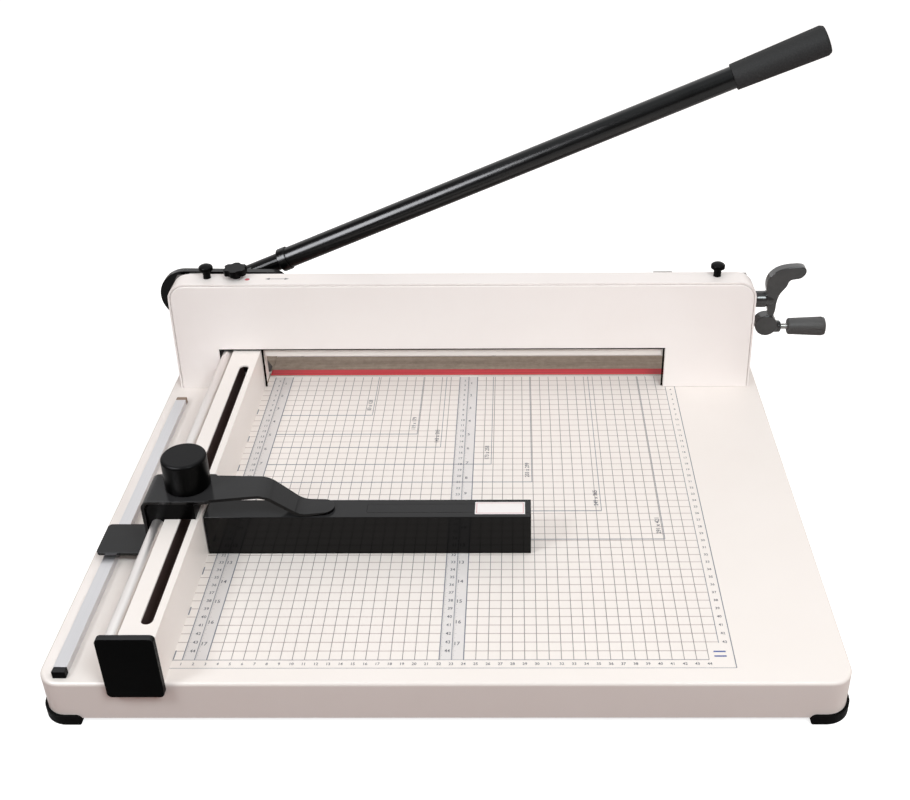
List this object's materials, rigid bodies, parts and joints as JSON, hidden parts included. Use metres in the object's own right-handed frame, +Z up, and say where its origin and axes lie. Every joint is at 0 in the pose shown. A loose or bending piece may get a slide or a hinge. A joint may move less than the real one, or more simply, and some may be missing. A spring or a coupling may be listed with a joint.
{
  "type": "manual paper cutter",
  "caption": "Heavy stack paper cutter: a long lever drives a slanted blade carrier, a side crank gears the paper clamp down, and a back gauge slides on a slotted fence.",
  "frame": {"origin": "on the bench, in the middle of the footprint of the whole machine with the lever raised", "axes": "+X to the right along the blade, +Y from the front edge to the back, +Z up"},
  "size_m": [0.7388, 0.546, 0.4253],
  "materials": {
    "cream_paint": "satin",
    "black_rubber": "matte",
    "machined_steel": "brushed",
    "dark_steel": "oiled",
    "blade_steel": "ground",
    "bright_steel": "polished",
    "bronze": "plain",
    "red_plastic": "matte",
    "rail_aluminium": "satin",
    "black_paint": "gloss",
    "black_plastic": "gloss",
    "brown_plastic": "matte",
    "dark_plastic": "matte",
    "grip_rubber": "matte"
  },
  "bodies": {
    "frame": {"base_tray": "cream_paint", "foot_front_left": "black_rubber", "foot_front_right": "black_rubber", "foot_rear_left": "black_rubber", "foot_rear_right": "black_rubber", "bed_bar": "machined_steel", "bed_screws": "machined_steel", "cutting_stick": "red_plastic", "left_frame": "machined_steel", "right_frame": "machined_steel", "guide_plate": "machined_steel", "left_keeper": "machined_steel", "right_keeper": "machined_steel", "keeper_screws": "dark_steel", "frame_bolts": "dark_steel", "housing_body": "cream_paint", "front_cover": "cream_paint", "screw_lugs": "machined_steel", "rack_guides": "machined_steel", "shaft_bushes": "bronze", "side_fence": "cream_paint", "fence_end_cap": "black_plastic", "guide_rod": "bright_steel", "rod_bracket": "dark_steel", "scale_rail": "rail_aluminium", "rail_front_plug": "black_plastic", "rail_rear_plug": "brown_plastic", "table_screws": "dark_steel", "pivot_bolt": "dark_steel"},
    "lever": {"lever_hub": "black_paint", "hub_bush": "bronze", "lever_tube": "black_paint", "lever_collar": "black_paint", "lever_grip": "grip_rubber", "drive_pin": "machined_steel"},
    "carrier": {"blade_carrier": "machined_steel", "blade": "blade_steel", "blade_bolts": "dark_steel"},
    "crank": {"crank_shaft": "bright_steel", "crank_arm": "black_paint", "crank_gear": "machined_steel", "grip_spindle": "bright_steel"},
    "crank_grip": {"crank_grip": "dark_plastic"},
    "layshaft": {"layshaft": "bright_steel", "layshaft_gear": "machined_steel", "clamp_pinions": "machined_steel"},
    "clamp": {"clamp_bar": "cream_paint", "left_rack": "machined_steel", "right_rack": "machined_steel"},
    "gauge": {"gauge_bar": "black_paint", "bar_end_plugs": "black_plastic", "gauge_strip": "dark_plastic", "gauge_bracket": "black_paint", "rod_slider": "dark_plastic", "rail_shoe": "dark_plastic", "gauge_nut": "machined_steel"},
    "gauge_knob": {"gauge_knob": "dark_plastic"},
    "thumb_left": {"thumb_screw_left": "black_plastic"},
    "thumb_right": {"thumb_screw_right": "black_plastic"},
    "lock": {"lock_knob": "dark_plastic"}
  },
  "joints": [
    {"name": "lever_swing", "type": "hinge", "parent": "frame", "child": "lever", "pos_m": [-0.3297, 0.253, 0.1255], "axis": [0, 1, 0], "range_deg": [0, 28]},
    {"name": "carrier_slide", "type": "slide", "parent": "frame", "child": "carrier", "axis": [0.5, 0, -0.866], "range_m": [0, 0.05091]},
    {"name": "crank_turn", "type": "hinge", "parent": "frame", "child": "crank", "pos_m": [0.3003, 0.1905, 0.1475], "axis": [1, 0, 0], "range_deg": [0, 285]},
    {"name": "layshaft_turn", "type": "hinge", "parent": "frame", "child": "layshaft", "pos_m": [-0.0287, 0.1905, 0.1275], "axis": [1, 0, 0], "range_deg": [-286, 0]},
    {"name": "clamp_slide", "type": "slide", "parent": "frame", "child": "clamp", "axis": [0, 0, -1], "range_m": [0, 0.0373]},
    {"name": "crank_grip_spin", "type": "hinge", "parent": "crank", "child": "crank_grip", "pos_m": [0.3284, 0.1905, 0.1135], "axis": [1, 0, 0], "continuous": true},
    {"name": "gauge_slide", "type": "slide", "parent": "frame", "child": "gauge", "axis": [0, 1, 0], "range_m": [-0.134, 0.232]},
    {"name": "gauge_knob_turn", "type": "hinge", "parent": "gauge", "child": "gauge_knob", "pos_m": [-0.2635, -0.0965, 0.115], "axis": [0, 0, 1], "range_deg": [0, 360]},
    {"name": "thumb_left_turn", "type": "hinge", "parent": "frame", "child": "thumb_left", "pos_m": [-0.3038, 0.1925, 0.175], "axis": [0, 0, 1], "range_deg": [0, 360]},
    {"name": "thumb_right_turn", "type": "hinge", "parent": "frame", "child": "thumb_right", "pos_m": [0.2464, 0.1925, 0.175], "axis": [0, 0, 1], "range_deg": [0, 360]},
    {"name": "lock_turn", "type": "hinge", "parent": "frame", "child": "lock", "pos_m": [-0.2723, 0.1925, 0.175], "axis": [0, 0, 1], "range_deg": [0, 90]}
  ],
  "couplings": [
    {"joint": "carrier_slide", "follows": "lever_swing", "m_per_rad": 0.10396},
    {"joint": "layshaft_turn", "follows": "clamp_slide", "rad_per_m": -133.33},
    {"joint": "crank_turn", "follows": "clamp_slide", "rad_per_m": 133.33}
  ]
}
